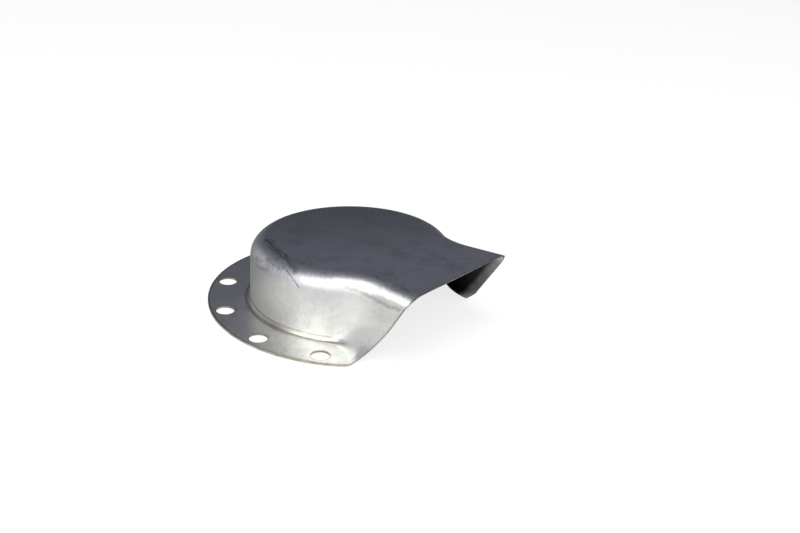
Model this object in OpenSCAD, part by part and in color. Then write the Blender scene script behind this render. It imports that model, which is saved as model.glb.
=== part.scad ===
// Exhaust heat shield: a hood pressed from one steel sheet.
// A round drawn cup stands on a flat bolted flange. On one side its wall flares
// out into a mouth, and the edge of the mouth is trimmed along a leaning plane,
// so that the top reaches out over it like a visor. The two ends of the mouth differ:
// at the -Y end the foot curve swells out wide, and at the +Y end it stays tighter and
// the toe is cut back on a slant.
// The origin is the centre of the flange circle, on its underside.
// +Z is up and +X points out of the mouth.

/* [Sheet] */
// Thickness of the sheet
sheet_t = 0.7; // [0.5:0.1:1.2]

/* [Flange] */
// Width of the flange, from the cup wall to the outer edge
flange_w = 14.8; // [13:0.2:22]
// Distance from the middle of a bolt hole to the outer edge of the flange
hole_edge = 5; // [4:0.1:6]
// Diameter of one bolt hole
hole_d = 6.4; // [4:0.1:7]
// Number of equal steps in a full circle of holes
hole_steps = 12; // [10:1:14]
// Number of holes on each side of the rearmost one
holes_each_side = 4; // [2:1:4]
// Radius of the rounded corners where the flange meets the mouth
corner_r = 4.5; // [2:0.5:5]

/* [Cup] */
// Outer diameter of the cup wall
cup_d = 70.4; // [64:0.4:84]
// Height of the top above the underside of the flange, at the middle of the cup
hood_h = 24.2; // [21:0.1:32]
// Angle at which the top rises towards the mouth
top_rise = 2.2; // [0:0.1:5]
// Outer radius of the shoulder between the wall and the top
shoulder_r = 6.4; // [3:0.1:7]
// Radius of the foot curve between the flange and the cup wall
foot_r = 1.3; // [1:0.1:3]

/* [Mouth] */
// Angle from the middle of the mouth at which the wall leaves the round of the cup
flare_start = 55.4; // [50:0.2:60]
// Plan radius of the hollow curve that leads from the cup to the mouth
flare_r = 20.6; // [18:0.2:24]
// Angle at which the two mouth walls splay outwards
mouth_splay = 6.6; // [2:0.2:14]
// Radius of the foot curve at the -Y end of the mouth
mouth_foot_r = 12.4; // [8:0.2:14]
// Radius of the foot curve at the +Y end of the mouth
left_foot_r = 7; // [3:0.5:9]
// How much sooner, along X, the foot curve is full grown at the +Y end
left_foot_lead = 13; // [0:1:16]
// Length, along X, over which the foot curve grows until it reaches the mouth
foot_growth = 18; // [10:0.5:24]
// Distance from the front of the cup's circle back to the mouth edge, at the flange
mouth_back = 2.1; // [0:0.1:6]
// Angle from vertical at which the mouth edge leans outwards
mouth_lean = 31.4; // [20:0.2:36]
// Distance by which the +Y toe of the mouth is cut back at the flange
toe_back = 3.4; // [1:0.2:5]
// Angle from vertical at which the cut of that toe leans
toe_lean = 45; // [40:1:50]
// Angle in plan at which it slants back towards +Y
toe_skew = 15; // [5:1:20]

/* [Hidden] */
steel = [0.62, 0.62, 0.65];
$fn = 96;

cup_r = cup_d / 2;
flange_r = cup_r + flange_w;
hole_circle_r = flange_r - hole_edge;
hole_step_deg = 360 / hole_steps;
mouth_reach = cup_r - mouth_back;

// Angle between two stations round the cup and round the hollow curves
cup_station_deg = 6;
flare_station_deg = 5;
// Steps in the foot curve and in the shoulder
foot_steps = 5;
shoulder_steps = 6;
// Width of flat flange that the pressed wall carries past its foot curve
rim_w = 1.2;
// Distance past the foot curve at which the plate of the flange begins
plate_gap = rim_w / 2;
// Extra length by which the wall and the cutting tools run past the sheet
past = 1;
// Share of its radius at which the corner's arc is set in from the edges it rounds
corner_cross = 0.97;
// Side of the blocks that trim the mouth, far larger than the sheet
block_side = 4 * flange_r;

// Height of the top edge of the mouth, how far the top reaches out over the mouth,
// and where the uncut wall ends
edge_h = (hood_h + mouth_reach * tan(top_rise)) / (1 - tan(mouth_lean) * tan(top_rise));
edge_reach = mouth_reach + edge_h * tan(mouth_lean);
wall_end_x = edge_reach + past;

// Place of the cut at the +Y toe, where it meets the flange
toe_x = mouth_reach - toe_back;
toe_y = cup_r * sin(flare_start);

// Distance of the mouth edge and of the toe's edge from the middle, half way up the sheet
mouth_edge = mouth_reach + sheet_t / 2 * tan(mouth_lean);
toe_edge = toe_x * cos(toe_skew) + toe_y * sin(toe_skew) + sheet_t / 2 * tan(toe_lean);

// Centre of the hollow plan curve, on the +Y side
flare_x = (cup_r + flare_r) * cos(flare_start);
flare_y = (cup_r + flare_r) * sin(flare_start);
// Start and length of the straight wall that follows it
splay_x = flare_x + flare_r * sin(mouth_splay);
splay_y = flare_y - flare_r * cos(mouth_splay);
splay_len = max(past, (wall_end_x - splay_x) / cos(mouth_splay));

// Where along X the foot curve starts to grow
foot_grow_start = mouth_reach - foot_growth;

// Number of steps that an arc of the given angle takes
function steps_for(angle, step) = max(1, round(angle / step));

// Stations of the +Y half, each [x, y, angle of the outward normal]
cup_arc = 180 - flare_start;
flare_arc = 90 + mouth_splay - flare_start;
cup_steps = steps_for(cup_arc, cup_station_deg);
flare_steps = steps_for(flare_arc, flare_station_deg);
cup_half = [
    for (i = [0:cup_steps - 1])
        let (a = 180 - i * cup_arc / cup_steps)
        [cup_r * cos(a), cup_r * sin(a), a]
];
flare_half = [
    for (i = [0:flare_steps])
        let (a = 180 + flare_start + i * flare_arc / flare_steps)
        [flare_x + flare_r * cos(a), flare_y + flare_r * sin(a), a - 180]
];
splay_half = [
    for (share = [0.5, 1])
        [splay_x + share * splay_len * cos(mouth_splay),
         splay_y + share * splay_len * sin(mouth_splay),
         90 + mouth_splay]
];
left_half = concat(cup_half, flare_half, splay_half);

// Whole run of stations, from the -Y end of the mouth round the back to the +Y end
last = len(left_half) - 1;
stations = concat(
    [for (i = [last:-1:1]) [left_half[i][0], -left_half[i][1], -left_half[i][2]]],
    left_half
);

// Smooth step from 0 to 1
function eased(u) = let (v = min(1, max(0, u))) v * v * (3 - 2 * v);

// Radius of the foot curve at a station
function foot_at(s) =
    let (
        left = s[1] > 0,
        at_mouth = left ? left_foot_r : mouth_foot_r,
        start = foot_grow_start - (left ? left_foot_lead : 0)
    )
    foot_r + (at_mouth - foot_r) * eased((s[0] - start) / foot_growth);

// Share of the top's slope that the sheet takes up at height z: none at the flange,
// all of it from the foot of the shoulder upwards
function slope_share(z) = min(1, max(0, (z - sheet_t) / (hood_h - shoulder_r - sheet_t)));

// Point at distance d outwards from the wall line of a station, at height z
function sheet_point(s, d, z) =
    let (x = s[0] + d * cos(s[2]))
    [x, s[1] + d * sin(s[2]), z + x * tan(top_rise) * slope_share(z)];

// One skin of the sheet at a station, from the flange up to the top. The skin lies
// a distance "inset" inside the outer face.
function skin(s, inset) =
    let (foot = foot_at(s), foot_arc = foot + inset, top_arc = shoulder_r - inset)
    concat(
        [sheet_point(s, foot + rim_w, sheet_t - inset)],
        [for (i = [0:foot_steps])
            let (a = 90 * i / foot_steps)
            sheet_point(s, foot - foot_arc * sin(a), sheet_t + foot - foot_arc * cos(a))],
        [for (i = [0:shoulder_steps])
            let (a = 90 * i / shoulder_steps)
            sheet_point(s, top_arc * cos(a) - shoulder_r, hood_h - shoulder_r + top_arc * sin(a))]
    );

// Pressed wall, shoulder and top as one closed sheet. Each station has a loop of
// points that runs up the outer skin and back down the inner one.
module pressed_hood() {
    count = len(stations);
    rows = foot_steps + shoulder_steps + 3;
    loop = 2 * rows;
    outer_top = rows - 1;
    inner_top = rows;
    far_end = (count - 1) * loop;
    points = [
        for (s = stations)
            each concat(skin(s, 0), [for (i = [rows - 1:-1:0]) skin(s, sheet_t)[i]])
    ];
    skins = [
        for (k = [0:count - 2], i = [0:loop - 1])
            if (i != outer_top)
                let (a = k * loop + i, b = k * loop + (i + 1) % loop)
                each [[a, b + loop, b], [a, a + loop, b + loop]]
    ];
    // The top crosses from each pair of stations to the mirrored pair
    top = [
        for (k = [0:last - 1])
            let (m = count - 1 - k, a = k * loop, b = a + loop, c = (m - 1) * loop, d = m * loop)
            each [
                [for (v = (c == b ? [a, b, d] : [a, b, c, d])) v + outer_top],
                [for (v = (c == b ? [d, b, a] : [d, c, b, a])) v + inner_top]
            ]
    ];
    ends = [
        for (i = [0:rows - 2])
            let (j = loop - 1 - i)
            each [
                [i, i + 1, j - 1, j],
                [far_end + j, far_end + j - 1, far_end + i + 1, far_end + i]
            ]
    ];
    front = [outer_top, far_end + outer_top, far_end + inner_top, inner_top];
    polyhedron(points, concat(skins, top, ends, [front]));
}

// Plan of the flange plate: the disc less the ground that the pressed wall covers
module flange_plan() {
    difference() {
        circle(flange_r);
        polygon([
            for (s = stations)
                let (p = sheet_point(s, foot_at(s) + plate_gap, 0))
                [p[0], p[1]]
        ]);
    }
}

// Flat round plate round the foot of the wall
module flange_plate() {
    linear_extrude(sheet_t) flange_plan();
}

// Bolt holes, evenly spaced either side of the rearmost one
module bolt_holes() {
    for (i = [-holes_each_side:holes_each_side])
        rotate(180 + i * hole_step_deg)
            translate([hole_circle_r, 0, -past])
                cylinder(d = hole_d, h = sheet_t + 2 * past);
}

// Block that takes away all that lies in front of x = 0
module trim_block() {
    translate([0, -block_side / 2, -block_side / 2])
        cube(block_side);
}

// Trims the mouth along its leaning plane
module mouth_trim() {
    translate([mouth_reach, 0, 0])
        rotate([0, mouth_lean, 0])
            trim_block();
}

// Trims the toe at the +Y end of the mouth
module toe_trim() {
    translate([toe_x, toe_y, 0])
        rotate([0, 0, toe_skew])
            rotate([0, toe_lean, 0])
                trim_block();
}

// Waste outside the rounded corner where the flange circle meets a trimmed edge, on its
// +Y side. The edge lies across X at the given distance, half way up the sheet. The
// corner's arc crosses both edges a little, rather than just touching them.
module corner_waste(edge) {
    corner_in = corner_r * corner_cross;
    corner_x = edge - corner_in;
    corner_y = sqrt(pow(flange_r - corner_in, 2) - pow(corner_x, 2));
    out = (flange_r + corner_r) / (flange_r - corner_r);
    translate([0, 0, -past])
        linear_extrude(foot_r + sheet_t + 2 * past)
            difference() {
                polygon([
                    [corner_x, corner_y],
                    [corner_x + 2 * corner_r, corner_y],
                    [corner_x + 2 * corner_r, corner_y * out],
                    [corner_x * out, corner_y * out]
                ]);
                translate([corner_x, corner_y])
                    circle(corner_r);
            }
}

module heat_shield() {
    color(steel)
        difference() {
            union() {
                pressed_hood();
                flange_plate();
            }
            bolt_holes();
            mouth_trim();
            toe_trim();
            mirror([0, 1, 0])
                corner_waste(mouth_edge);
            rotate(toe_skew)
                corner_waste(toe_edge);
        }
}

heat_shield();
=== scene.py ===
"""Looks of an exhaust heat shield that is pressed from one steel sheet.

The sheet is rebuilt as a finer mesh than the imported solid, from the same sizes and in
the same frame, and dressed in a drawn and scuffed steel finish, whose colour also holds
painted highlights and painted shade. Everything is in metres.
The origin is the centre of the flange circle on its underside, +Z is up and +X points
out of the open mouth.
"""

import logging
import math
from dataclasses import dataclass, field
from enum import Enum
from typing import Any, Optional, Sequence, Union

import bpy
import numpy as np
from mathutils import Matrix, Vector


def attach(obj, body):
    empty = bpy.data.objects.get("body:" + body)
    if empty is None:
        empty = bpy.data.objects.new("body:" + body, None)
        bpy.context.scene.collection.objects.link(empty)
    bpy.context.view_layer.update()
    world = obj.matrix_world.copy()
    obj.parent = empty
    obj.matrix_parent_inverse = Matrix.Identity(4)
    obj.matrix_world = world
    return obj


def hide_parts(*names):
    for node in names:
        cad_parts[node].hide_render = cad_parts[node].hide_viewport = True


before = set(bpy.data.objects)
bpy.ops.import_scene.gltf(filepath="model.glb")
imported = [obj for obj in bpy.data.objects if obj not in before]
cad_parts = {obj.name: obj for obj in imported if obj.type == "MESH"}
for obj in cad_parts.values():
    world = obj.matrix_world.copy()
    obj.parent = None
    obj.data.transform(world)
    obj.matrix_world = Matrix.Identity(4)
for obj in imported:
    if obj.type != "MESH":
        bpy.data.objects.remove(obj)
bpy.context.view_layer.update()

logging.basicConfig(level=logging.INFO, format="%(message)s")
LOG = logging.getLogger("heat_shield_scene")

MM = 0.001
FRAME_WIDTH = 800
SENSOR_WIDTH = 36.0
MIDDLE = 0.5
FULL_TURN = 360.0

Number = Union[int, float]
Colour = tuple[float, float, float]
Point = tuple[float, float, float]
Span = tuple[float, float]


def eased(share: np.ndarray) -> np.ndarray:
    """Smooth step from 0 to 1.

    Args:
        share: Values that are cut to the range 0 to 1 first.

    Returns:
        The eased values.
    """
    u = np.clip(share, 0.0, 1.0)
    return u * u * (3.0 - 2.0 * u)


def rgba(colour: Colour) -> tuple[float, float, float, float]:
    """Adds a full alpha to a colour."""
    return (*colour, 1.0)


def solid(name: str, verts: Sequence[Point], faces: list[list[int]]) -> bpy.types.Object:
    """Makes a mesh object and links it to the scene.

    Args:
        name: Name of the object and its mesh.
        verts: Its corners, in metres.
        faces: Its faces, by number of corner.

    Returns:
        The object.
    """
    mesh = bpy.data.meshes.new(name)
    mesh.from_pydata(verts, [], faces)
    made = bpy.data.objects.new(name, mesh)
    bpy.context.scene.collection.objects.link(made)
    return made


# Shader maths


class Wire:
    """A node socket that takes part in ordinary Python expressions."""

    def __init__(self, book: "ShaderBook", socket: bpy.types.NodeSocket) -> None:
        """Keeps the socket and the material that it belongs to."""
        self.book = book
        self.socket = socket

    def _math(self, operation: str, *values: Any) -> "Wire":
        """Adds one Math node with the given operation and inputs."""
        return self.book.maths(operation, *values)

    def __add__(self, other: Any) -> "Wire":
        """Sum."""
        return self._math("ADD", self, other)

    def __radd__(self, other: Any) -> "Wire":
        """Sum, number first."""
        return self._math("ADD", other, self)

    def __sub__(self, other: Any) -> "Wire":
        """Difference."""
        return self._math("SUBTRACT", self, other)

    def __rsub__(self, other: Any) -> "Wire":
        """Difference, number first."""
        return self._math("SUBTRACT", other, self)

    def __mul__(self, other: Any) -> "Wire":
        """Product."""
        return self._math("MULTIPLY", self, other)

    def __rmul__(self, other: Any) -> "Wire":
        """Product, number first."""
        return self._math("MULTIPLY", other, self)

    def __truediv__(self, other: Any) -> "Wire":
        """Quotient."""
        return self._math("DIVIDE", self, other)

    def __pow__(self, other: Any) -> "Wire":
        """Power."""
        return self._math("POWER", self, other)

    def __abs__(self) -> "Wire":
        """Absolute value."""
        return self._math("ABSOLUTE", self)

    def lesser(self, other: Any) -> "Wire":
        """The lower of two values."""
        return self._math("MINIMUM", self, other)

    def clipped(self) -> "Wire":
        """The value cut to the range 0 to 1."""
        return self.book.node(
            "ShaderNodeClamp", {}, {"Value": self, "Min": 0.0, "Max": 1.0}
        )

    def ramp(self, low: Number, high: Number) -> "Wire":
        """Smooth mask that is 0 at low and 1 at high.

        Args:
            low: Value at which the mask is 0. It may be the larger of the two.
            high: Value at which the mask is 1.

        Returns:
            The mask.
        """
        if low > high:
            return 1.0 - self.ramp(high, low)
        return self.book.node(
            "ShaderNodeMapRange",
            {"interpolation_type": "SMOOTHSTEP"},
            {"Value": self, "From Min": low, "From Max": high, "To Min": 0.0, "To Max": 1.0},
        )

    def band(self, middle: Number, half_width: Number) -> "Wire":
        """Mask that is 1 at a middle value and fades to 0 a half width away."""
        return (1.0 - abs(self - middle) / half_width).clipped()


@dataclass(frozen=True)
class Noise:
    """A fractal noise: features per metre, octaves, and the share that each octave keeps."""

    scale: float
    detail: float
    rough: float


class ShaderBook:
    """One material's node tree, with one method that makes any node."""

    def __init__(self, name: str) -> None:
        """Starts an empty node material.

        Args:
            name: Name of the material.
        """
        self.material = bpy.data.materials.new(name)
        self.material.use_nodes = True
        self.tree = self.material.node_tree
        self.tree.nodes.clear()

    def node(
        self,
        kind: str,
        settings: Optional[dict[str, Any]] = None,
        inputs: Optional[dict[Any, Any]] = None,
        output: Union[int, str] = 0,
    ) -> Optional[Wire]:
        """Adds a node.

        Args:
            kind: Blender's type name of the node.
            settings: Properties that are set before the sockets.
            inputs: Values or wires by socket name or number.
            output: Name or number of the output that is returned.

        Returns:
            The chosen output, or None for a node without any.
        """
        made = self.tree.nodes.new(kind)
        for key, value in (settings or {}).items():
            setattr(made, key, value)
        for key, value in (inputs or {}).items():
            self._feed(made.inputs[key], value)
        return Wire(self, made.outputs[output]) if made.outputs else None

    def _feed(self, socket: bpy.types.NodeSocket, value: Any) -> None:
        """Links a wire to a socket, or sets the socket's own value."""
        if isinstance(value, Wire):
            self.tree.links.new(value.socket, socket)
        else:
            socket.default_value = value

    def place(self) -> Wire:
        """Position on the object, in metres."""
        return self.node("ShaderNodeTexCoord", {}, {}, "Object")

    def up(self) -> Wire:
        """Upward part of the surface's direction: 1 on top, 0 on a wall."""
        return self.split(self.node("ShaderNodeTexCoord", {}, {}, "Normal"))[2]

    def maths(self, operation: str, *values: Any) -> Wire:
        """Adds one Math node with the given operation and inputs."""
        return self.node("ShaderNodeMath", {"operation": operation}, dict(enumerate(values)))

    def vector(self, operation: str, *values: Any, output: Union[int, str] = 0) -> Wire:
        """Adds one Vector Math node with the given operation and inputs."""
        return self.node(
            "ShaderNodeVectorMath", {"operation": operation}, dict(enumerate(values)), output
        )

    def split(self, vector: Wire) -> tuple[Wire, Wire, Wire]:
        """Takes a vector apart.

        Args:
            vector: The vector.

        Returns:
            Its three parts.
        """
        made = self.tree.nodes.new("ShaderNodeSeparateXYZ")
        self._feed(made.inputs[0], vector)
        return tuple(Wire(self, made.outputs[i]) for i in range(3))

    def join(self, x: Any, y: Any, z: Any) -> Wire:
        """A vector from its three parts."""
        return self.node("ShaderNodeCombineXYZ", {}, {0: x, 1: y, 2: z})

    def scaled(self, vector: Any, scale: Any) -> Wire:
        """A vector times a number."""
        inputs = {0: vector, "Scale": scale}
        return self.node("ShaderNodeVectorMath", {"operation": "SCALE"}, inputs)

    def behind(self, place: Wire, plane: Matrix) -> Wire:
        """Distance in metres behind the face of a cut.

        Args:
            place: Position on the object.
            plane: Placing of the cut, with its face across X.

        Returns:
            The distance.
        """
        across = plane.to_3x3().col[0]
        return plane.translation.dot(across) - self.vector(
            "DOT_PRODUCT", place, tuple(across), output="Value"
        )

    def along(self, place: Wire, mark: "Mark") -> Wire:
        """Mask that is at full strength on a mark's path and fades to 0 at its half width.

        Args:
            place: Position on the object.
            mark: The mark.

        Returns:
            The mask.
        """
        nearest = None
        for first, last in zip(mark.path, mark.path[1:]):
            start, run = Vector(first) * MM, (Vector(last) - Vector(first)) * MM
            offset = self.vector("SUBTRACT", place, tuple(start))
            share = self.vector(
                "DOT_PRODUCT", offset, tuple(run / run.length_squared), output="Value"
            )
            foot = self.scaled(tuple(run), share.clipped())
            distance = self.vector("DISTANCE", offset, foot, output="Value")
            nearest = distance if nearest is None else nearest.lesser(distance)
        reach = mark.half_width * MM
        return nearest.ramp(reach, mark.core * reach) * mark.strength

    def noise(self, vector: Wire, noise: Noise, output: str = "Fac") -> Wire:
        """Reads a fractal noise.

        Args:
            vector: Place at which it is read.
            noise: Its settings.
            output: Fac for one value, or Color for three.

        Returns:
            Noise of about 0.3 to 0.7.
        """
        values = {"Scale": noise.scale, "Detail": noise.detail, "Roughness": noise.rough}
        return self.node(
            "ShaderNodeTexNoise", {"noise_dimensions": "3D"}, {"Vector": vector, **values}, output
        )

    def ray(self, kind: str) -> Wire:
        """1 where the ray that sees the surface is of the given kind, otherwise 0."""
        return self.node("ShaderNodeLightPath", {}, {}, kind)

    def glow(self, colour: Colour) -> Wire:
        """A shader that shows a colour as it is, whatever the light."""
        return self.node("ShaderNodeEmission", {}, {"Color": rgba(colour), "Strength": 1.0})

    def blend(self, share: Wire, first: Wire, second: Wire) -> Wire:
        """Shader mix, from the first shader at 0 to the second at 1."""
        return self.node("ShaderNodeMixShader", {}, {0: share, 1: first, 2: second})

    def mix(self, share: Any, first: Any, second: Any) -> Wire:
        """Mixes two colours.

        Args:
            share: Value or wire, at 0 the first colour and at 1 the second.
            first: Colour or wire.
            second: Colour or wire.

        Returns:
            The mixed colour.
        """
        made = self.tree.nodes.new("ShaderNodeMix")
        made.data_type = "RGBA"
        colours = [s for s in made.inputs if s.type == "RGBA"]
        self._feed(made.inputs[0], share)
        for socket, value in zip(colours, (first, second)):
            self._feed(socket, value if isinstance(value, Wire) else rgba(value))
        return Wire(self, next(s for s in made.outputs if s.type == "RGBA"))

    def bump(self, height: Wire, distance: Number, strength: Number) -> Wire:
        """Normal that is tilted by a height.

        Args:
            height: Height, in units of the distance.
            distance: Height in metres of one unit.
            strength: Share of the effect.

        Returns:
            The normal.
        """
        return self.node(
            "ShaderNodeBump",
            {},
            {"Height": height, "Distance": distance, "Strength": strength},
            "Normal",
        )

    def surface(self, shader: Wire) -> bpy.types.Material:
        """Ends the tree with the given shader and returns the material."""
        self.node("ShaderNodeOutputMaterial", {}, {"Surface": shader})
        return self.material


# Finishes


class Zone(Enum):
    """Parts of the sheet's surface that have a finish of their own."""

    OUTSIDE = 0
    INSIDE = 1
    CUT_EDGE = 2


@dataclass(frozen=True)
class Mark:
    """A mark along a path of places on the sheet, all in millimetres: a rub, a scratch, the
    painted shade line of the gather, or the band whose normal is turned.

    Its core is the share of the half width that is at full strength.
    """

    path: tuple[Point, ...]
    half_width: float
    strength: float
    core: float = 0.2


@dataclass(frozen=True)
class Grain:
    """One size of the steel's mottling, with its share of the tone all over and on top."""

    noise: Noise
    span: Span
    tone: float
    top_tone: float

    def read(self, book: ShaderBook, place: Wire) -> Wire:
        """The noise, spread from 0 to 1."""
        return book.noise(place, self.noise).ramp(*self.span)

    def toned(self, value: Wire, top: Wire) -> Wire:
        """What the mottling adds to the tone."""
        return (value - MIDDLE) * (self.tone + top * self.top_tone)


@dataclass(frozen=True)
class Spot:
    """Wires that say where on the sheet a shaded point lies."""

    place: Wire
    x: Wire
    y: Wire
    z: Wire
    up: Wire
    radius: Wire

    @classmethod
    def of(cls, book: ShaderBook) -> "Spot":
        """Reads the place in one material.

        Args:
            book: The material.

        Returns:
            The wires.
        """
        place = book.place()
        x, y, z = book.split(place)
        return cls(place, x, y, z, book.up(), (x * x + y * y) ** 0.5)


@dataclass(frozen=True)
class Wear:
    """Wires that the colour, the roughness and the relief of the drawn steel share.

    Fine, mottle, cloud, lines and stain are noises. The others are masks: rear is the half
    of the cup away from the mouth, and strip is a band low on the cup, brown at the rear and
    a painted highlight towards the mouth.
    """

    fine: Wire
    mottle: Wire
    cloud: Wire
    lines: Wire
    stain: Wire
    wall: Wire
    shoulder: Wire
    top: Wire
    rear: Wire
    strip: Wire
    rubs: Wire
    scratches: Wire
    gather: Wire


@dataclass(frozen=True)
class DrawnSteel:
    """Bare sheet steel after drawing: satin, mottled, with draw lines, rubs and scratches,
    and with painted highlights and painted shade in its colour.

    A span is the pair of values at which a mask is 0 and 1. Slopes are the upward part of
    the surface's direction, and heights are above the flange's underside.
    """

    name: str = "drawn_steel"
    steel: Colour = (0.80, 0.80, 0.815)
    # painted reflected light: the steel is made lighter and warmer low on the sheet
    low_painted_light_steel: Colour = (0.89, 0.895, 0.86)
    # painted highlight: nearly white steel on the flare's wall at the -Y side
    flare_highlight_steel: Colour = (0.98, 0.98, 0.95)
    # the mottling's darker tone, and also the painted shade that darkens the top
    mottle_and_shade_steel: Colour = (0.44, 0.445, 0.47)
    # dark steel of the rubs and scratches, and also the painted shade on the top, along the gather
    # and in the crease at the foot
    wear_and_shade_steel: Colour = (0.26, 0.28, 0.29)
    # warm_steel: partly a heat stain, partly painted warm reflected light
    warm_steel: Colour = (0.80, 0.72, 0.62)
    rust_haze: Colour = (0.34, 0.27, 0.20)
    strip_brown: Colour = (0.52, 0.43, 0.38)
    # strip_highlight: painted highlight on the strip at the foot, on its half nearer the mouth
    strip_highlight: Colour = (0.97, 0.93, 0.78)
    base_roughness: float = 0.43
    base_tone: float = 0.12
    # top_tone: painted shade, the top's colour is made darker than the walls
    top_tone: float = 0.10
    fine: Grain = Grain(Noise(1700.0, 3.0, 0.6), (0.30, 0.70), 0.20, 0.30)
    mottle: Grain = Grain(Noise(420.0, 5.0, 0.65), (0.25, 0.75), 0.25, 0.45)
    cloud: Grain = Grain(Noise(110.0, 4.0, 0.55), (0.30, 0.70), 0.15, 0.70)
    stain: Noise = Noise(130.0, 4.0, 0.6)
    line_noise: Noise = Noise(1500.0, 4.0, 0.6)
    line_radius: float = 35.0 * MM
    line_squash: float = 0.05
    wall_lines: float = 0.35
    shoulder_lines: float = 2.4
    wall_slopes: Span = (0.30, 0.05)
    wall_heights: Span = (1.5 * MM, 5.0 * MM)
    shoulder_slope: float = 0.60
    shoulder_reach: float = 0.42
    shoulder_heights: Span = (14.0 * MM, 19.0 * MM)
    top_slopes: Span = (0.90, 0.99)
    low_heights: Span = (19.0 * MM, 9.0 * MM)
    flare_x: Span = (18.0 * MM, 30.0 * MM)
    flare_y: Span = (0.0, -12.0 * MM)
    flare_slopes: Span = (0.85, 0.65)
    # painted shade on the top, growing towards -X and +Y
    painted_shade_side: tuple[float, float] = (-0.78, 0.63)
    painted_shade_span: Span = (-30.0 * MM, 30.0 * MM)
    painted_shade_share: float = 0.55
    # strength of the painted shade line along the gather's crease
    gather_shade_share: float = 0.55
    warm_heights: Span = (4.0 * MM, 0.6 * MM)
    warm_stain: Span = (0.42, 0.75)
    warm_share: float = 0.30
    rear_x: Span = (8.0 * MM, -2.0 * MM)
    strip_top: Span = (2.4 * MM, 1.9 * MM)
    strip_foot: Span = (0.8 * MM, 1.0 * MM)
    strip_end: Span = (29.0 * MM, 24.0 * MM)
    brown_share: float = 0.75
    # bright_share: strength of the strip's painted highlight
    bright_share: float = 0.8
    strip_polish: float = 0.12
    haze_height: float = 2.4 * MM
    haze_reach: float = 0.5 * MM
    haze_radii: Span = (37.5 * MM, 36.5 * MM)
    haze_stain: Span = (0.30, 0.50)
    haze_share: float = 0.6
    # crease: painted shade in the crease between the wall's foot and the flange
    crease_r: float = 36.6 * MM
    crease_reach: float = 0.7 * MM
    crease_heights: Span = (1.2 * MM, 0.9 * MM)
    crease_shade_share: float = 0.15
    rear_crease_shade: float = 0.60
    flange_heights: Span = (1.2 * MM, 0.8 * MM)
    rim_radii: Span = (49.1 * MM, 49.6 * MM)
    rim_share: float = 0.7
    edge_depths: Span = (0.5 * MM, 0.2 * MM)
    edge_share: float = 0.6
    brown_stain: Span = (0.25, 0.50)
    hole_circle_r: float = 45.0 * MM
    hole_step: float = 30.0
    hole_radii: Span = (3.7 * MM, 3.35 * MM)
    bend_noise: Noise = Noise(380.0, 2.0, 0.5)
    bend: float = 1.4 * MM
    scuff_turn: tuple[float, float] = (0.93, 0.37)
    scuff_squash: float = 0.22
    scuff_noise: Noise = Noise(1300.0, 4.0, 0.6)
    scuff_span: Span = (0.38, 0.52)
    mottle_roughness: float = 0.10
    cloud_roughness: float = 0.06
    mark_roughness: float = 0.10
    fine_relief: float = 0.08
    mottle_relief: float = 0.12
    wall_relief: float = 0.25
    shoulder_relief: float = 0.9
    scratch_depth: float = 0.8
    gather_depth: float = 0.7
    relief_distance: float = 0.12 * MM
    relief_share: float = 0.5
    facet_tilt: Point = (1.0, 0.0, 0.0)
    facet_span: Span = (0.35, 0.65)
    facet_base: float = 0.60
    facet_break: float = 0.5
    rubs: tuple[Mark, ...] = (
        Mark(((-18.6, -22.5, 23.5), (-13.4, -25.3, 23.8), (-5.6, -28.7, 24.0)), 2.4, 0.80),
        Mark(((-5.6, -28.7, 24.0), (-0.2, -30.8, 23.8), (4.2, -32.5, 22.9)), 2.2, 0.90),
        Mark(((-16.3, -30.4, 19.9), (-10.9, -32.4, 20.8), (-5.1, -33.8, 20.9)), 1.1, 0.45),
        Mark(((-13.3, -32.4, 18.5), (-7.9, -33.9, 19.6), (-4.2, -34.3, 20.3)), 0.9, 0.40),
        Mark(((-9.7, -31.7, 22.1), (-5.8, -32.7, 22.2), (-2.2, -33.5, 21.8)), 1.2, 0.50),
        Mark(((30.3, -18.2, 25.4), (31.4, -15.0, 25.4)), 0.9, 0.75),
        Mark(((28.4, -20.7, 24.8), (31.0, -21.2, 24.9), (34.4, -21.0, 25.2)), 1.1, 0.60),
        Mark(((37.6, -21.3, 25.3), (40.8, -21.6, 25.5), (44.5, -22.2, 25.6)), 1.2, 0.60),
    )
    scratches: tuple[Mark, ...] = (
        Mark(
            (
                (-1.1, -32.8, 22.7),
                (2.1, -33.7, 21.9),
                (3.8, -34.0, 21.3),
                (6.1, -34.4, 19.8),
                (7.9, -34.4, 18.2),
            ),
            0.42,
            0.95,
        ),
        Mark(((-5.8, -32.7, 22.1), (-1.0, -33.6, 21.5), (3.0, -34.4, 20.2)), 0.32, 0.60),
    )
    # the gather's path: a painted shade line in the colour and a groove in the relief
    gather: tuple[Mark, ...] = (
        Mark(
            (
                (22.4, -27.2, 21.0),
                (25.5, -26.0, 20.7),
                (29.5, -25.3, 20.2),
                (34.3, -25.4, 19.8),
                (41.2, -26.3, 20.1),
                (43.8, -26.6, 20.6),
            ),
            1.0,
            0.80,
        ),
    )
    facets: tuple[Mark, ...] = (
        Mark(
            (
                (19.0, -28.6, 22.0),
                (25.0, -24.9, 22.5),
                (30.0, -23.9, 22.9),
                (36.0, -23.9, 23.2),
                (46.0, -25.0, 23.6),
            ),
            3.2,
            0.36,
        ),
    )

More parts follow.
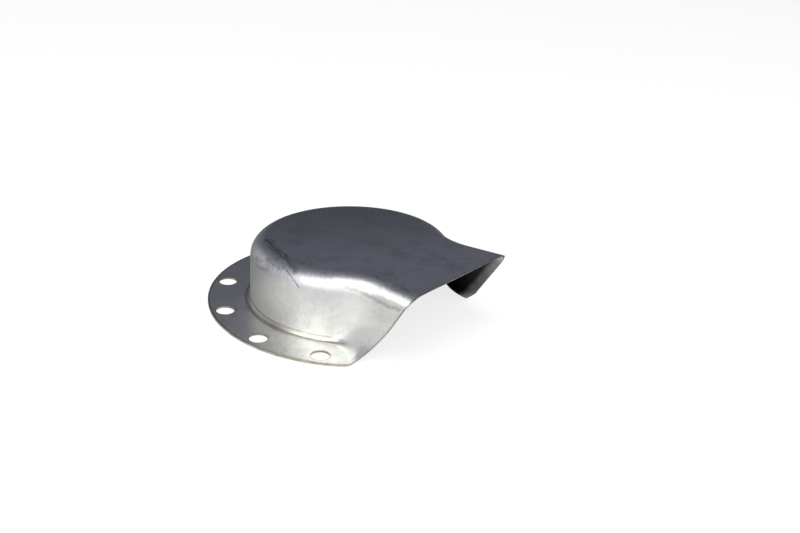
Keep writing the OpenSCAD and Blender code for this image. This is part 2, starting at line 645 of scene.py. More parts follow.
    def build(self, trims: Sequence[Matrix]) -> bpy.types.Material:
        """Makes the node material.

        Args:
            trims: Placings of the cuts at the mouth.

        Returns:
            The material.
        """
        book = ShaderBook(self.name)
        spot = Spot.of(book)
        wear = self.wear(book, spot)
        colour = self.worn_steel_and_painted_light(book, spot, wear)
        colour = self.foot_stains_and_painted_light(book, spot, wear, colour)
        browned = self.browned(book, spot, wear, trims[0])
        relief = book.bump(self.relief(wear), self.relief_distance, self.relief_share)
        shader = book.node(
            "ShaderNodeBsdfPrincipled",
            {},
            {
                "Base Color": book.mix(browned, colour, self.rust_haze),
                "Metallic": 1.0,
                "Roughness": self.roughness(wear),
                "Normal": self.gathered(book, spot.place, wear.lines, relief),
            },
        )
        return book.surface(shader)

    def wear(self, book: ShaderBook, spot: Spot) -> Wear:
        """Reads the grain, the regions and the marks.

        Args:
            book: The material.
            spot: Where the point lies.

        Returns:
            The wires of all of them.
        """
        bent = self.bent(book, spot.place)
        high = spot.z.ramp(*self.shoulder_heights)
        slope = spot.up.band(self.shoulder_slope, self.shoulder_reach)
        return Wear(
            fine=self.fine.read(book, spot.place),
            mottle=self.mottle.read(book, spot.place),
            cloud=self.cloud.read(book, spot.place),
            lines=self.draw_lines(book, spot),
            stain=book.noise(spot.place, self.stain),
            wall=spot.up.ramp(*self.wall_slopes) * spot.z.ramp(*self.wall_heights),
            shoulder=slope * high,
            top=spot.up.ramp(*self.top_slopes) * high,
            rear=spot.x.ramp(*self.rear_x),
            strip=spot.z.ramp(*self.strip_top) * spot.z.ramp(*self.strip_foot),
            rubs=self.all_of(book, bent, self.rubs) * self.scuffs(book, spot),
            scratches=self.all_of(book, bent, self.scratches),
            gather=self.all_of(book, bent, self.gather),
        )

    def worn_steel_and_painted_light(self, book: ShaderBook, spot: Spot, wear: Wear) -> Wire:
        """Colour of the steel with its mottling, rubs and scratches, and with painted light: lighter
        low down, a painted highlight on the flare, and painted shade on the top and along the gather.

        Args:
            book: The material.
            spot: Where the point lies.
            wear: The grain, regions and marks.

        Returns:
            The colour.
        """
        tone = (
            self.mottle.toned(wear.mottle, wear.top)
            + self.cloud.toned(wear.cloud, wear.top)
            + self.fine.toned(wear.fine, wear.top)
            + wear.wall * (wear.lines - MIDDLE) * self.wall_lines
            + wear.shoulder * (wear.lines - MIDDLE) * self.shoulder_lines
            # painted shade: the top is made darker than the walls
            + wear.top * self.top_tone
            + self.base_tone
        ).clipped()
        # Painted reflected light: lighter, warmer steel below 19 mm, fully so below 9 mm
        base = book.mix(spot.z.ramp(*self.low_heights), self.steel, self.low_painted_light_steel)
        # Painted highlight: the flare's wall on the -Y side is made nearly white
        flare = spot.x.ramp(*self.flare_x) * spot.y.ramp(*self.flare_y)
        flare = flare * spot.up.ramp(*self.flare_slopes)
        base = book.mix(flare, base, self.flare_highlight_steel)
        colour = book.mix(tone, base, self.mottle_and_shade_steel)
        # Painted shade: the top darkens towards -X and +Y; it is mixed in with the dark rubs
        behind = spot.x * self.painted_shade_side[0] + spot.y * self.painted_shade_side[1]
        dark = behind.ramp(*self.painted_shade_span) * wear.top * self.painted_shade_share
        colour = book.mix((wear.rubs + dark).clipped(), colour, self.wear_and_shade_steel)
        # Scratches darken as wear; the gather gets a painted shade line along its crease
        lines = (wear.scratches + wear.gather * self.gather_shade_share).clipped()
        return book.mix(lines, colour, self.wear_and_shade_steel)

    def foot_stains_and_painted_light(self, book: ShaderBook, spot: Spot, wear: Wear, colour: Wire) -> Wire:
        """Adds the warm haze, which is partly painted warm light, the strip with its painted
        highlight, and the painted shade in the crease at the foot of the cup.

        Args:
            book: The material.
            spot: Where the point lies.
            wear: The grain, regions and marks.
            colour: The colour without them.

        Returns:
            The colour with them.
        """
        # Warm tint low down, patchy by the stain noise: partly a heat stain, partly painted warm
        # reflected light
        warm = spot.z.ramp(*self.warm_heights) * wear.stain.ramp(*self.warm_stain)
        colour = book.mix(warm * self.warm_share, colour, self.warm_steel)
        colour = book.mix(wear.strip * wear.rear * self.brown_share, colour, self.strip_brown)
        # Painted highlight: the strip turns bright yellowish white on its half nearer the mouth
        bright = wear.strip * (1.0 - wear.rear) * spot.x.ramp(*self.strip_end)
        colour = book.mix(bright * self.bright_share, colour, self.strip_highlight)
        haze = spot.z.band(self.haze_height, self.haze_reach)
        haze = haze * spot.radius.ramp(*self.haze_radii) * wear.stain.ramp(*self.haze_stain)
        colour = book.mix(haze * self.haze_share, colour, self.rust_haze)
        # Painted shade in the crease where the foot meets the flange, darker at the rear
        crease = spot.radius.band(self.crease_r, self.crease_reach)
        crease = crease * spot.z.ramp(*self.crease_heights)
        crease = crease * (self.crease_shade_share + wear.rear * self.rear_crease_shade)
        return book.mix(crease, colour, self.wear_and_shade_steel)

    def browned(self, book: ShaderBook, spot: Spot, wear: Wear, mouth: Matrix) -> Wire:
        """Mask of the browning beside the cut edges of rim, holes and mouth.

        Args:
            book: The material.
            spot: Where the point lies.
            wear: The grain, regions and marks.
            mouth: Placing of the mouth's cut.

        Returns:
            The mask.
        """
        flange = spot.z.ramp(*self.flange_heights)
        rim = spot.radius.ramp(*self.rim_radii) * flange * self.rim_share
        holes = self.hole_rims(book, spot) * flange * self.edge_share
        edge = book.behind(spot.place, mouth).ramp(*self.edge_depths) * self.edge_share
        return (rim + holes + edge).clipped() * wear.stain.ramp(*self.brown_stain)

    def roughness(self, wear: Wear) -> Wire:
        """Roughness, lower on the strip at the foot and higher in the marks.

        Args:
            wear: The grain, regions and marks.

        Returns:
            The roughness.
        """
        return (
            self.base_roughness
            - wear.strip * self.strip_polish
            + (wear.mottle - MIDDLE) * self.mottle_roughness
            + (wear.cloud - MIDDLE) * self.cloud_roughness
            + (wear.rubs + wear.scratches).clipped() * self.mark_roughness
        )

    def relief(self, wear: Wear) -> Wire:
        """Height of the grain and draw lines, less the depth of the scratches.

        Args:
            wear: The grain, regions and marks.

        Returns:
            The height.
        """
        return (
            wear.fine * self.fine_relief
            + wear.mottle * self.mottle_relief
            + wear.lines * (wear.wall * self.wall_relief + wear.shoulder * self.shoulder_relief)
            - wear.scratches * self.scratch_depth
            - wear.gather * self.gather_depth
        )

    def draw_lines(self, book: ShaderBook, spot: Spot) -> Wire:
        """Noise that is drawn out along the way in which the sheet was pulled.

        Args:
            book: The material.
            spot: Where the point lies.

        Returns:
            The noise.
        """
        across = book.join(
            spot.x / spot.radius * self.line_radius,
            spot.y / spot.radius * self.line_radius,
            (spot.z - spot.radius) * self.line_squash,
        )
        return book.noise(across, self.line_noise)

    def gathered(self, book: ShaderBook, place: Wire, lines: Wire, normal: Wire) -> Wire:
        """Turns the surface along the gather at the mouth towards the mouth.

        Args:
            book: The material.
            place: Position on the object.
            lines: The draw lines, which break the turn up.
            normal: The normal elsewhere.

        Returns:
            The normal with the gather in it.
        """
        broken = self.facet_base + lines.ramp(*self.facet_span) * self.facet_break
        tilt = book.scaled(self.facet_tilt, self.all_of(book, place, self.facets) * broken)
        return book.vector("NORMALIZE", book.vector("ADD", normal, tilt))

    def scuffs(self, book: ShaderBook, spot: Spot) -> Wire:
        """Streaks that run across the draw lines at a slant.

        Args:
            book: The material.
            spot: Where the point lies.

        Returns:
            Mask from 0 to 1.
        """
        ahead, aside = self.scuff_turn
        slanted = book.join(
            (spot.x * ahead - spot.y * aside) * self.scuff_squash,
            spot.x * aside + spot.y * ahead,
            spot.z,
        )
        return book.noise(slanted, self.scuff_noise).ramp(*self.scuff_span)

    def hole_rims(self, book: ShaderBook, spot: Spot) -> Wire:
        """Mask that is 1 at the rims of the bolt holes, which stand at equal steps.

        Args:
            book: The material.
            spot: Where the point lies.

        Returns:
            The mask.
        """
        half_step = math.radians(self.hole_step) / 2
        turn = book.maths("ARCTAN2", spot.y, spot.x)
        turn = book.maths("WRAP", turn, half_step, -half_step)
        beside = spot.radius * book.maths("SINE", turn)
        ahead = spot.radius * book.maths("COSINE", turn) - self.hole_circle_r
        return ((ahead * ahead + beside * beside) ** 0.5).ramp(*self.hole_radii)

    def bent(self, book: ShaderBook, place: Wire) -> Wire:
        """Place that is pushed about by a slow noise, so that the marks aren't straight."""
        drift = book.vector("SUBTRACT", book.noise(place, self.bend_noise, "Color"), (MIDDLE,) * 3)
        return book.vector("ADD", place, book.scaled(drift, self.bend))

    @staticmethod
    def all_of(book: ShaderBook, place: Wire, marks: Sequence[Mark]) -> Wire:
        """Sum of the masks of several marks."""
        return sum(book.along(place, mark) for mark in marks)


@dataclass(frozen=True)
class InnerSteel:
    """The same sheet on its inner side, with a painted reflection at the lip of the mouth
    and painted shade within.
    """

    name: str = "painted_shade_inner_steel"
    # lip_reflection: bluish painted reflection of light at the lip of the mouth
    lip_reflection: Colour = (0.88, 0.90, 1.0)
    # dark: painted shade inside the hood
    dark: Colour = (0.13, 0.13, 0.145)
    base_roughness: float = 0.42
    mottle: Noise = Noise(220.0, 5.0, 0.6)
    cloud: Noise = Noise(90.0, 3.0, 0.5)
    lip_depths: Span = (1.6 * MM, 4.0 * MM)
    cloud_share: float = 0.3
    mottle_roughness: float = 0.25
    relief_distance: float = 0.05 * MM
    relief_share: float = 0.5

    def build(self, trims: Sequence[Matrix]) -> bpy.types.Material:
        """Makes the node material.

        Args:
            trims: Placings of the cuts at the mouth.

        Returns:
            The material.
        """
        book = ShaderBook(self.name)
        place = book.place()
        mottle = book.noise(place, self.mottle)
        cloud = book.noise(place, self.cloud)
        # Painted shade: darker with depth behind the mouth's cuts, broken up by the cloud noise; the
        # lip keeps the painted reflection
        within = math.prod(book.behind(place, plane).ramp(*self.lip_depths) for plane in trims)
        within = (within + (cloud - MIDDLE) * self.cloud_share).clipped()
        shader = book.node(
            "ShaderNodeBsdfPrincipled",
            {},
            {
                "Base Color": book.mix(within, self.lip_reflection, self.dark),
                "Metallic": 1.0,
                "Roughness": self.base_roughness + (mottle - MIDDLE) * self.mottle_roughness,
                "Normal": book.bump(mottle, self.relief_distance, self.relief_share),
            },
        )
        return book.surface(shader)


@dataclass(frozen=True)
class CutEdge:
    """Sheared edge of the sheet, browned in patches and more towards the top."""

    name: str = "sheared_edge"
    bright: Colour = (0.44, 0.39, 0.32)
    brown: Colour = (0.085, 0.065, 0.05)
    metallic: float = 0.7
    base_roughness: float = 0.45
    grain_roughness: float = 0.2
    stain: Noise = Noise(240.0, 5.0, 0.65)
    stain_span: Span = (0.40, 0.62)
    stain_share: float = 0.45
    high_heights: Span = (2.0 * MM, 20.0 * MM)
    high_share: float = 0.60
    grain: Noise = Noise(3200.0, 2.0, 0.6)
    relief_distance: float = 0.04 * MM
    relief_share: float = 0.5

    def build(self) -> bpy.types.Material:
        """Makes the node material.

        Returns:
            The material.
        """
        book = ShaderBook(self.name)
        place = book.place()
        high = book.split(place)[2].ramp(*self.high_heights)
        stain = book.noise(place, self.stain).ramp(*self.stain_span)
        stain = (stain * self.stain_share + high * self.high_share).clipped()
        grain = book.noise(place, self.grain)
        shader = book.node(
            "ShaderNodeBsdfPrincipled",
            {},
            {
                "Base Color": book.mix(stain, self.bright, self.brown),
                "Metallic": self.metallic,
                "Roughness": self.base_roughness + grain * self.grain_roughness,
                "Normal": book.bump(grain, self.relief_distance, self.relief_share),
            },
        )
        return book.surface(shader)


@dataclass(frozen=True)
class PaleFloor:
    """White floor that keeps the shadow of what stands on it.

    What the metal mirrors of it is a glowing white with a painted shadow under the cup,
    painted dimming towards -X and +Y, and less light far out.
    """

    name: str = "pale_floor"
    colour: Colour = (0.86, 0.86, 0.86)
    roughness: float = 0.9
    specular: float = 0.1
    seen_colour: Colour = (1.0, 1.0, 1.0)
    glow_share: float = 0.80
    mirrored_colour: Colour = (1.0, 1.0, 0.965)
    shadow_colour: Colour = (0.0, 0.0, 0.0)
    bright_share: float = 0.98
    dim_share: float = 0.20
    lit_side: tuple[float, float] = (0.77, -0.64)
    lit_span: Span = (-30.0 * MM, 46.0 * MM)
    shade_radii: Span = (36.0 * MM, 50.0 * MM)
    far_radii: Span = (50.0 * MM, 80.0 * MM)
    far_loss: float = 0.28

    def build(self) -> bpy.types.Material:
        """Makes the node material.

        Returns:
            The material.
        """
        book = ShaderBook(self.name)
        matt = book.node(
            "ShaderNodeBsdfPrincipled",
            {},
            {
                "Base Color": rgba(self.colour),
                "Roughness": self.roughness,
                "Specular IOR Level": self.specular,
            },
        )
        seen = book.ray("Is Camera Ray") * self.glow_share
        direct = book.blend(seen, matt, book.glow(self.seen_colour))
        shadow, white = book.glow(self.shadow_colour), book.glow(self.mirrored_colour)
        image = book.blend(self.mirrored_share(book), shadow, white)
        mirrored = (book.ray("Is Glossy Ray") + book.ray("Is Transmission Ray")).clipped()
        return book.surface(book.blend(mirrored, direct, image))

    def mirrored_share(self, book: ShaderBook) -> Wire:
        """How bright the mirrored floor is: painted light on its lit side, painted shadow under the
        cup.

        Args:
            book: The material.

        Returns:
            Its share of white, from 0 to 1.
        """
        x, y, _ = book.split(book.place())
        radius = (x * x + y * y) ** 0.5
        lit = (x * self.lit_side[0] + y * self.lit_side[1]).ramp(*self.lit_span)
        lit = lit * (1.0 - radius.ramp(*self.far_radii) * self.far_loss)
        share = self.dim_share + lit * (self.bright_share - self.dim_share)
        return share * radius.ramp(*self.shade_radii)


# The pressed sheet


@dataclass
class HeatShield:
    """The whole part: flange, foot curve, cup, shoulder, top and flared mouth.

    The sizes are those of the part's source, in metres and degrees. Extra rows of points
    stand at shares of the flange's width, and at distances inside the shoulder on top.
    """

    sheet_t: float = 0.7 * MM
    flange_w: float = 14.8 * MM
    hole_edge: float = 5.0 * MM
    hole_d: float = 6.4 * MM
    hole_steps: int = 12
    holes_each_side: int = 4
    corner_r: float = 4.5 * MM
    cup_d: float = 70.4 * MM
    hood_h: float = 24.2 * MM
    top_rise: float = 2.2
    shoulder_r: float = 6.4 * MM
    foot_r: float = 1.3 * MM
    flare_start: float = 55.4
    flare_r: float = 20.6 * MM
    mouth_splay: float = 6.6
    mouth_foot_r: float = 12.4 * MM
    left_foot_r: float = 7.0 * MM
    left_foot_lead: float = 13.0 * MM
    foot_growth: float = 18.0 * MM
    mouth_back: float = 2.1 * MM
    mouth_lean: float = 31.4
    toe_back: float = 3.4 * MM
    toe_lean: float = 45.0
    toe_skew: float = 15.0
    flange_rows: tuple[float, ...] = (0.5, 0.12)
    top_rows: tuple[float, ...] = (0.6 * MM, 2.0 * MM)
    overlap: float = 0.02 * MM
    past: float = 1.0 * MM
    margin: int = 3
    slack: float = 0.015 * MM
    cup_steps: int = 100
    flare_steps: int = 40
    splay_steps: int = 10
    foot_steps: int = 12
    wall_steps: int = 10
    shoulder_steps: int = 16
    rim_steps: int = 240
    corner_steps: int = 14
    hole_sides: int = 64
    sharp_angle: float = 40.0
    tools: list[bpy.types.Object] = field(default_factory=list)

    @property
    def cup_r(self) -> float:
        """Outer radius of the cup."""
        return self.cup_d / 2

    @property
    def flange_r(self) -> float:
        """Radius of the flange."""
        return self.cup_r + self.flange_w

    @property
    def mouth_reach(self) -> float:
        """Where the mouth edge crosses X at the flange."""
        return self.cup_r - self.mouth_back

    @property
    def edge_reach(self) -> float:
        """How far the top reaches out over the mouth.

        Returns:
            Where the top's edge crosses X.
        """
        lean, rise = math.tan(math.radians(self.mouth_lean)), math.tan(math.radians(self.top_rise))
        edge_h = (self.hood_h + self.mouth_reach * rise) / (1 - lean * rise)
        return self.mouth_reach + edge_h * lean

    def stations(self) -> np.ndarray:
        """Places along the foot of the wall, from the -Y end round the back to +Y.

        Returns:
            One row for each station: x, y and the angle of the outward normal.
        """
        start, splay = math.radians(self.flare_start), math.radians(self.mouth_splay)
        cup = np.linspace(math.pi, start, self.cup_steps + 1)[:-1]
        rows = [np.c_[self.cup_r * np.cos(cup), self.cup_r * np.sin(cup), cup]]
        centre = (self.cup_r + self.flare_r) * np.array([math.cos(start), math.sin(start)])
        turn = np.linspace(math.pi + start, 1.5 * math.pi + splay, self.flare_steps + 1)
        rows.append(
            np.c_[
                centre[0] + self.flare_r * np.cos(turn),
                centre[1] + self.flare_r * np.sin(turn),
                turn - math.pi,
            ]
        )
        end = centre + self.flare_r * np.array([math.sin(splay), -math.cos(splay)])
        reach = self.edge_reach + self.margin * self.past - end[0]
        length = max(self.past, reach / math.cos(splay))
        run = np.linspace(0, length, self.splay_steps + 1)[1:]
        rows.append(
            np.c_[
                end[0] + run * math.cos(splay),
                end[1] + run * math.sin(splay),
                np.full(len(run), math.pi / 2 + splay),
            ]
        )
        half = np.vstack(rows)
        mirrored = half[:0:-1] * np.array([1.0, -1.0, -1.0])
        return np.vstack([mirrored, half])

    def foot_at(self, rows: np.ndarray) -> np.ndarray:
        """Radius of the foot curve at each station.

        Args:
            rows: The stations.

        Returns:
            One radius for each. At the +Y end it grows sooner and less.
        """
        left = rows[:, 1] > 0
        start = self.mouth_reach - self.foot_growth - np.where(left, self.left_foot_lead, 0.0)
        at_mouth = np.where(left, self.left_foot_r, self.mouth_foot_r)
        return self.foot_r + (at_mouth - self.foot_r) * eased((rows[:, 0] - start) / self.foot_growth)

    def rim_distance(self, rows: np.ndarray, foot: np.ndarray) -> np.ndarray:
        """Distance from the wall line outwards to just past the flange circle.

        Args:
            rows: The stations.
            foot: Radius of the foot curve at each of them.

        Returns:
            One distance for each station.
        """
        ahead = rows[:, 0] * np.cos(rows[:, 2]) + rows[:, 1] * np.sin(rows[:, 2])
        gap = (self.flange_r + self.past) ** 2 - (rows[:, 0] ** 2 + rows[:, 1] ** 2)
        reach = -ahead + np.sqrt(np.maximum(ahead**2 + gap, 0.0))
        return np.maximum(reach, foot + self.past)

    def skin(self, inset: float) -> np.ndarray:
        """Points of one skin of the sheet.

        Args:
            inset: Distance of the skin inside the outer face.

        Returns:
            Array of stations by rows by 3, from the flange's rim up to the top.
        """
        rows = self.stations()
        foot = self.foot_at(rows)[:, None]
        rim = self.rim_distance(rows, foot[:, 0])[:, None]
        arc = np.linspace(0, math.pi / 2, self.foot_steps + 1)
        out, up = [rim], [np.full_like(rim, self.sheet_t - inset)]
        for share in self.flange_rows:
            out.append(foot + (rim - foot) * share)
            up.append(up[0])
        out.append(foot - (foot + inset) * np.sin(arc))
        up.append(self.sheet_t + foot - (foot + inset) * np.cos(arc))
        low, high = up[-1][:, -1:], self.hood_h - self.shoulder_r
        share = np.linspace(0, 1, self.wall_steps + 1)[1:-1]
        out.append(np.full((len(rows), len(share)), -inset))
        up.append(low + (high - low) * share)
        bend = np.linspace(0, math.pi / 2, self.shoulder_steps + 1)
        crown = self.shoulder_r - inset
        out.append(np.tile(crown * np.cos(bend) - self.shoulder_r, (len(rows), 1)))
        up.append(np.tile(high + crown * np.sin(bend), (len(rows), 1)))
        for further in self.top_rows:
            out.append(np.full_like(rim, -self.shoulder_r - further))
            up.append(np.full_like(rim, self.hood_h - inset))
        distance, height = np.hstack(out), np.hstack(up)
        x = rows[:, :1] + distance * np.cos(rows[:, 2:])
        y = rows[:, 1:2] + distance * np.sin(rows[:, 2:])
        sloped = np.clip((height - self.sheet_t) / (high - self.sheet_t), 0.0, 1.0)
        z = height + x * math.tan(math.radians(self.top_rise)) * sloped
        return np.stack([x, y, z], axis=-1)

    def blank(self) -> bpy.types.Object:
        """The pressed sheet before it is trimmed and punched.

        Returns:
            A closed mesh object.
        """
        outer, inner = self.skin(0.0), self.skin(self.sheet_t)
        count, rows = outer.shape[:2]
        verts = np.concatenate([outer, inner[:, ::-1]], axis=1).reshape(-1, 3)
        loop = 2 * rows
        outer_top, inner_top = rows - 1, rows
        faces: list[list[int]] = []
        zones: list[Zone] = []
        for k in range(count - 1):
            for i in range(loop):
                if i == outer_top:
                    continue
                a, b = k * loop + i, k * loop + (i + 1) % loop
                faces.append([a, a + loop, b + loop, b])
                zones.append(Zone.OUTSIDE if i < outer_top else Zone.INSIDE)
        middle = (count - 1) // 2
        for k in range(middle):
            m = count - 1 - k
            a, b, c, d = k * loop, (k + 1) * loop, (m - 1) * loop, m * loop
            ring = [a, b, d] if b == c else [a, b, c, d]
            faces.append([v + outer_top for v in ring])
            faces.append([v + inner_top for v in reversed(ring)])
            zones += [Zone.OUTSIDE, Zone.INSIDE]
        far = (count - 1) * loop
        for i in range(rows - 1):
            j = loop - 1 - i
            faces.append([i, i + 1, j - 1, j])
            faces.append([far + j, far + j - 1, far + i + 1, far + i])
        faces.append([outer_top, far + outer_top, far + inner_top, inner_top])
        zones += [Zone.CUT_EDGE] * (len(faces) - len(zones))
        made = solid("heat_shield_sheet", [tuple(v) for v in verts], faces)
        made.data.polygons.foreach_set("material_index", [zone.value for zone in zones])
        return made

    def tool(
        self,
        name: str,
        verts: Sequence[Point],
        faces: list[list[int]],
        place: Optional[Matrix] = None,
    ) -> None:
        """Adds a cutting tool, whose faces leave sheared edges.

        Args:
            name: Name of the tool.
            verts: Its corners.
            faces: Its faces, by number of corner.
            place: Placing of the tool, if it isn't upright at the origin.
        """
        made = solid(name, verts, faces)
        made.data.polygons.foreach_set("material_index", [Zone.CUT_EDGE.value] * len(faces))
        if place is not None:
            made.data.transform(place)
        self.tools.append(made)

    def prism(
        self,
        name: str,
        outline: Sequence[tuple[float, float]],
        low: float,
        high: float,
        place: Optional[Matrix] = None,
    ) -> None:
        """Adds a straight cutting tool on a plan outline.

        Args:
            name: Name of the tool.
            outline: Plan points, anticlockwise.
            low: Height of its lower end.
            high: Height of its upper end.
            place: Placing of the tool, if it isn't upright at the origin.
        """
        n = len(outline)
        verts = [(x, y, low) for x, y in outline] + [(x, y, high) for x, y in outline]
        faces = [list(range(n))[::-1], list(range(n, 2 * n))]
        faces += [[i, (i + 1) % n, n + (i + 1) % n, n + i] for i in range(n)]
        self.tool(name, verts, faces, place)

    @staticmethod
    def circle_points(
        x: float,
        y: float,
        radius: float,
        steps: int,
        first: float = 0.0,
        last: float = FULL_TURN,
    ) -> list[tuple[float, float]]:
        """Points of an arc in plan, anticlockwise.

        Args:
            x: Centre of the arc along X.
            y: Centre of the arc along Y.
            radius: Its radius.
            steps: Number of chords.
            first: Angle of its first point, in degrees.
            last: Angle of its last point, in degrees.

        Returns:
            The points, without the last one of a full circle.
        """
        whole = abs(last - first) >= FULL_TURN
        angles = np.radians(np.linspace(first, last, steps + 1))
        angles = angles[:-1] if whole else angles
        return [(x + radius * math.cos(a), y + radius * math.sin(a)) for a in angles]

    def mouth_plane(self) -> Matrix:
        """Placing of the mouth's cut, with the cut's face across its X."""
        lean = Matrix.Rotation(math.radians(self.mouth_lean), 4, "Y")
        return Matrix.Translation((self.mouth_reach, 0, 0)) @ lean

    def toe_plane(self) -> Matrix:
        """Placing of the cut at the +Y toe of the mouth, with the cut's face across its X.

        Returns:
            The placing.
        """
        at = (
            self.mouth_reach - self.toe_back,
            self.cup_r * math.sin(math.radians(self.flare_start)),
            0.0,
        )
        skew = Matrix.Rotation(math.radians(self.toe_skew), 4, "Z")
        return Matrix.Translation(at) @ skew @ Matrix.Rotation(math.radians(self.toe_lean), 4, "Y")

    def flange_corner(self, plane: Matrix, height: float) -> tuple[float, float, float]:
        """Place of the round corner between the flange circle and a cut's edge.

        Args:
            plane: Placing of the cut.
            height: Height at which the cut is met.

        Returns:
            The edge's turn in plan, and the distances of the corner's centre from the
            middle, across the edge and along it.
        """
        across = plane.to_3x3().col[0]
        turn = math.atan2(across.y, across.x)
        level = math.hypot(across.x, across.y)
        edge = (plane.translation.dot(across) - height * across.z) / level
        x = edge + self.overlap - self.corner_r
        return turn, x, math.sqrt((self.flange_r - self.corner_r) ** 2 - x**2)

    def flange_outline(self, height: float) -> list[tuple[float, float]]:
        """Plan outline of the flange with its rounded corners at the mouth.

        Args:
            height: Height at which the leaning cuts are met.

        Returns:
            Points in order, anticlockwise. Across the mouth they stand well clear of it.
        """
        _, right_x, right_y = self.flange_corner(self.mouth_plane(), height)
        turn, left_x, left_y = self.flange_corner(self.toe_plane(), height)
        right_meet = math.degrees(math.atan2(right_y, right_x))
        left_meet = math.degrees(math.atan2(left_y, left_x))
        skew = math.degrees(turn)
        outline = self.circle_points(
            0,
            0,
            self.flange_r - self.slack,
            self.rim_steps,
            skew + left_meet,
            FULL_TURN - right_meet,
        )
        outline += self.circle_points(
            right_x, -right_y, self.corner_r, self.corner_steps, -right_meet, 0
        )[1:]
        clear = self.margin * self.corner_r
        outline.append((right_x + clear, -right_y))
        left = Vector((left_x, left_y)) @ Matrix.Rotation(-turn, 2)
        ahead = left + clear * Vector((math.cos(turn), math.sin(turn)))
        outline.append((ahead.x, ahead.y))
        outline += self.circle_points(
            left.x, left.y, self.corner_r, self.corner_steps, skew, skew + left_meet
        )[:-1]
        return outline

    def add_rim_tool(self) -> None:
        """Adds the plate that trims the flange's rim, with the flange's outline as a hole."""
        low, high = -self.past, self.foot_r + self.sheet_t + self.past
        verts, n = [], 0
        for height in (low, high):
            inner = self.flange_outline(height)
            n = len(inner)
            scale = 2 * self.flange_r
            verts += [(x, y, height) for x, y in inner]
            verts += [
                (x * scale / math.hypot(x, y), y * scale / math.hypot(x, y), height)
                for x, y in inner
            ]
        faces = []
        for i in range(n):
            j = (i + 1) % n
            faces.append([i, j, n + j, n + i])
            faces.append([3 * n + i, 3 * n + j, 2 * n + j, 2 * n + i])
            faces.append([2 * n + i, 2 * n + j, j, i])
            faces.append([n + i, n + j, 3 * n + j, 3 * n + i])
        self.tool("rim_tool", verts, faces)

    def add_tools(self) -> None:
        """Adds every cutting tool: rim, mouth, toe and bolt holes."""
        self.add_rim_tool()
        side = 2 * self.flange_r
        block = [(0, -side), (side, -side), (side, side), (0, side)]
        self.prism("mouth_tool", block, -side, side, self.mouth_plane())
        self.prism("toe_tool", block, -side, side, self.toe_plane())
        circle = self.flange_r - self.hole_edge
        for i in range(-self.holes_each_side, self.holes_each_side + 1):
            turn = math.radians(FULL_TURN / 2 + i * FULL_TURN / self.hole_steps)
            outline = self.circle_points(
                circle * math.cos(turn), circle * math.sin(turn), self.hole_d / 2, self.hole_sides
            )
            self.prism(f"punch_{i}", outline, -self.past, self.sheet_t + self.past)

    def cut(self, piece: bpy.types.Object, tool: bpy.types.Object) -> None:
        """Takes one tool away from the sheet.

        Args:
            piece: The sheet.
            tool: The tool.
        """
        step = piece.modifiers.new("cut", "BOOLEAN")
        step.operation = "DIFFERENCE"
        step.solver = "EXACT"
        step.object = tool
        shape = bpy.data.meshes.new_from_object(
            piece.evaluated_get(bpy.context.evaluated_depsgraph_get())
        )
        piece.modifiers.clear()
        old = piece.data
        piece.data = shape
        bpy.data.meshes.remove(old)

    def build(self) -> bpy.types.Object:
        """Presses, trims, punches and dresses the sheet.

        Returns:
            The finished piece.
        """
        piece = self.blank()
        trims = (self.mouth_plane(), self.toe_plane())
        for material in (DrawnSteel().build(trims), InnerSteel().build(trims), CutEdge().build()):
            piece.data.materials.append(material)
        self.add_tools()
        for tool in self.tools:
            self.cut(piece, tool)
            bpy.data.objects.remove(tool)
        self.tools.clear()
        piece.data.shade_smooth()
        piece.data.set_sharp_from_angle(angle=math.radians(self.sharp_angle))
        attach(piece, "root")
        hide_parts("heat_shield")
        return piece


# Stage


@dataclass
class PhotoCamera:
    """Camera at the photograph's viewpoint."""

    focal_px: float = 1173.705
    distance: float = 421.45 * MM
    elevation: float = 26.262
    roll: float = 2.248
    pan: float = 2.419
    tilt: float = -1.63
    part_turn: float = -40.954
    nearest: float = 0.01
    farthest: float = 50.0

    def build(self) -> bpy.types.Object:
        """Places the camera and makes it the scene's own.

        Returns:
            The camera.
        """
        rise = math.radians(self.elevation)
        at = np.array([0.0, -math.cos(rise), math.sin(rise)]) * self.distance
        forward = -at / np.linalg.norm(at)
        right = np.array([1.0, 0.0, 0.0])
        # The rows are the camera's right, down and forward directions
        rows = np.array([right, -np.cross(right, forward), forward])
        a, b, c = (math.radians(v) for v in (self.pan, self.tilt, self.roll))
        pan = np.array([[math.cos(a), 0, -math.sin(a)], [0, 1, 0], [math.sin(a), 0, math.cos(a)]])
        tilt = np.array([[1, 0, 0], [0, math.cos(b), -math.sin(b)], [0, math.sin(b), math.cos(b)]])
        roll = np.array([[math.cos(c), -math.sin(c), 0], [math.sin(c), math.cos(c), 0], [0, 0, 1]])
        t = math.radians(self.part_turn)
        turn = np.array([[math.cos(t), -math.sin(t), 0], [math.sin(t), math.cos(t), 0], [0, 0, 1]])
        rows = roll @ tilt @ pan @ rows @ turn
        at = turn.T @ at
        pose = Matrix.Identity(4)
        for i, axis in enumerate((rows[0], -rows[1], -rows[2])):
            for j in range(3):
                pose[j][i] = axis[j]
        pose.translation = Vector(at)
        data = bpy.data.cameras.new("photo_camera")
        data.sensor_fit = "HORIZONTAL"
        data.sensor_width = SENSOR_WIDTH
        data.lens = self.focal_px / FRAME_WIDTH * SENSOR_WIDTH
        data.clip_start, data.clip_end = self.nearest, self.farthest
        camera = bpy.data.objects.new("photo_camera", data)
        camera.matrix_world = pose
        bpy.context.scene.collection.objects.link(camera)
        bpy.context.scene.camera = camera
        return camera


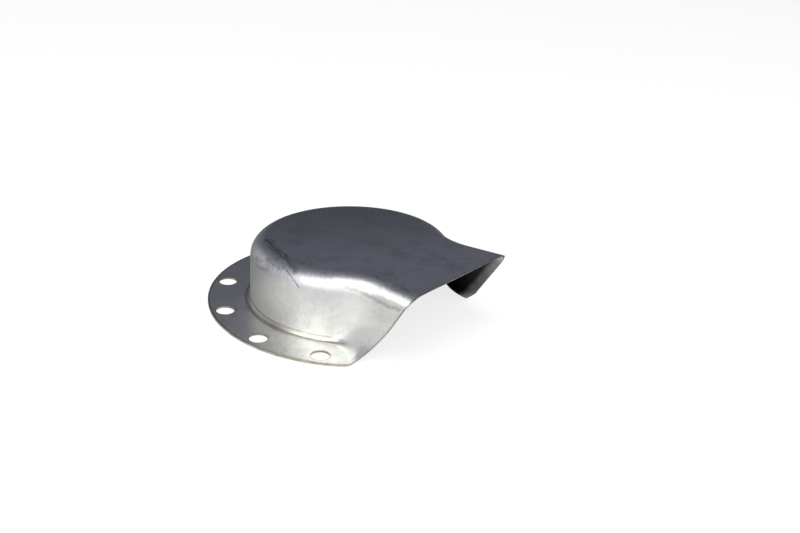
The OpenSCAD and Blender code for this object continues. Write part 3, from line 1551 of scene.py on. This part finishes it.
@dataclass
class Softbox:
    """A rectangular lamp that shines at the origin.

    Its bearing is the angle in plan from the camera's side, positive to the right as the
    camera sees it. Its radiance is what a mirror would show of it.
    """

    name: str
    bearing: float
    height_angle: float
    distance: float
    width: float
    height: float
    radiance: float
    mirrored: bool = True

    def build(self, camera_turn: float) -> bpy.types.Object:
        """Hangs the lamp.

        Args:
            camera_turn: Angle in plan of the camera, in degrees.

        Returns:
            The lamp.
        """
        turn, rise = math.radians(camera_turn + self.bearing), math.radians(self.height_angle)
        flat = math.cos(rise) * self.distance
        at = Vector((flat * math.cos(turn), flat * math.sin(turn), math.sin(rise) * self.distance))
        data = bpy.data.lights.new(self.name, "AREA")
        data.shape = "RECTANGLE"
        data.size, data.size_y = self.width, self.height
        data.energy = self.radiance * math.pi * self.width * self.height
        lamp = bpy.data.objects.new(self.name, data)
        lamp.location = at
        lamp.rotation_euler = (-at).to_track_quat("-Z", "Y").to_euler()
        lamp.visible_glossy = self.mirrored
        lamp.visible_camera = False
        bpy.context.scene.collection.objects.link(lamp)
        return lamp


@dataclass
class Studio:
    """Floor, lamps and surroundings."""

    floor_half: float = 6.0
    floor_drop: float = 0.05 * MM
    surround: Colour = (0.080, 0.085, 0.112)

    def world(self) -> bpy.types.World:
        """Dim surroundings that a camera sees as white.

        Returns:
            The world.
        """
        made = bpy.data.worlds.new("surround")
        made.use_nodes = True
        nodes, links = made.node_tree.nodes, made.node_tree.links
        nodes.clear()
        dim, white = nodes.new("ShaderNodeBackground"), nodes.new("ShaderNodeBackground")
        dim.inputs["Color"].default_value = rgba(self.surround)
        white.inputs["Color"].default_value = rgba((1.0, 1.0, 1.0))
        mixed, out = nodes.new("ShaderNodeMixShader"), nodes.new("ShaderNodeOutputWorld")
        links.new(nodes.new("ShaderNodeLightPath").outputs["Is Camera Ray"], mixed.inputs[0])
        links.new(dim.outputs[0], mixed.inputs[1])
        links.new(white.outputs[0], mixed.inputs[2])
        links.new(mixed.outputs[0], out.inputs["Surface"])
        return made

    def build(self, camera_turn: float) -> None:
        """Lays the floor, hangs the lamps and sets the world.

        Args:
            camera_turn: Angle in plan of the camera, in degrees.
        """
        h, z = self.floor_half, -self.floor_drop
        floor = solid("floor", [(-h, -h, z), (h, -h, z), (h, h, z), (-h, h, z)], [[0, 1, 2, 3]])
        floor.data.materials.append(PaleFloor().build())
        lamps = (
            Softbox(
                "front_softbox",
                bearing=-20.0,
                height_angle=32.0,
                distance=1.0,
                width=1.6,
                height=1.05,
                radiance=2.0,
            ),
            Softbox(
                "right_softbox",
                bearing=50.0,
                height_angle=32.0,
                distance=1.0,
                width=0.95,
                height=0.9,
                radiance=1.8,
            ),
            Softbox(
                "side_softbox",
                bearing=-105.0,
                height_angle=8.0,
                distance=1.0,
                width=1.2,
                height=0.9,
                radiance=0.46,
            ),
            Softbox(
                "overhead_softbox",
                bearing=0.0,
                height_angle=80.0,
                distance=1.2,
                width=1.1,
                height=1.1,
                radiance=4.2,
                mirrored=False,
            ),
        )
        for lamp in lamps:
            lamp.build(camera_turn)
        bpy.context.scene.world = self.world()


def main() -> None:
    """Builds the scene in order and reports each piece."""
    bpy.context.scene.view_settings.view_transform = "Standard"
    camera = PhotoCamera()
    camera.build()
    LOG.info("camera placed")
    piece = HeatShield().build()
    LOG.info("%s: %d faces", piece.name, len(piece.data.polygons))
    Studio().build(-90 - camera.part_turn)
    LOG.info("studio set")


if __name__ == "__main__":
    main()
